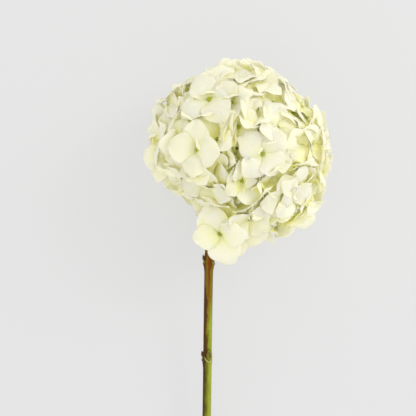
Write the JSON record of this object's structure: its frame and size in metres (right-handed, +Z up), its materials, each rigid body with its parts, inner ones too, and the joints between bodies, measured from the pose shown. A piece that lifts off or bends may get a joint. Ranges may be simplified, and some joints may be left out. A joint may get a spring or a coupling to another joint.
{
  "type": "cut hydrangea",
  "caption": "Cut mophead hydrangea lying on its side: a round head of four-sepalled florets on branching rays, on a bare woody stem with paired buds.",
  "frame": {"origin": "on the surface the flower lies on, under the middle of the whole flower's bounding box", "axes": "+Y from the cut end of the stem to the top of the flower head, +Z up from the surface, +X to the right"},
  "size_m": [0.168, 0.4454, 0.1424],
  "materials": {
    "sepal": "matte, slightly waxy cream with yellow-green at the base",
    "ray": "satin pale green",
    "stem": "satin olive bark with reddish brown streaks",
    "bud": "satin brown bud scales"
  },
  "bodies": {
    "root": {"bud_lower_left": "bud", "bud_lower_right": "bud", "bud_middle_front": "bud", "bud_middle_left": "bud", "bud_upper_left": "bud", "bud_upper_right": "bud", "floret_01": "sepal", "floret_02": "sepal", "floret_03": "sepal", "floret_04": "sepal", "floret_05": "sepal", "floret_06": "sepal", "floret_07": "sepal", "floret_08": "sepal", "floret_09": "sepal", "floret_10": "sepal", "floret_11": "sepal", "floret_12": "sepal", "floret_13": "sepal", "floret_14": "sepal", "floret_15": "sepal", "floret_16": "sepal", "floret_17": "sepal", "floret_18": "sepal", "floret_19": "sepal", "floret_20": "sepal", "floret_21": "sepal", "floret_22": "sepal", "floret_23": "sepal", "floret_24": "sepal", "floret_25": "sepal", "floret_26": "sepal", "floret_27": "sepal", "floret_28": "sepal", "floret_29": "sepal", "floret_30": "sepal", "floret_31": "sepal", "floret_32": "sepal", "floret_33": "sepal", "floret_34": "sepal", "floret_35": "sepal", "floret_36": "sepal", "floret_37": "sepal", "floret_38": "sepal", "floret_39": "sepal", "floret_40": "sepal", "floret_41": "sepal", "floret_42": "sepal", "floret_43": "sepal", "floret_44": "sepal", "floret_45": "sepal", "floret_46": "sepal", "floret_47": "sepal", "floret_48": "sepal", "ray_back": "ray", "ray_front": "ray", "ray_left": "ray", "ray_right": "ray", "ray_terminal": "ray", "stem": "stem"}
  },
  "joints": []
}
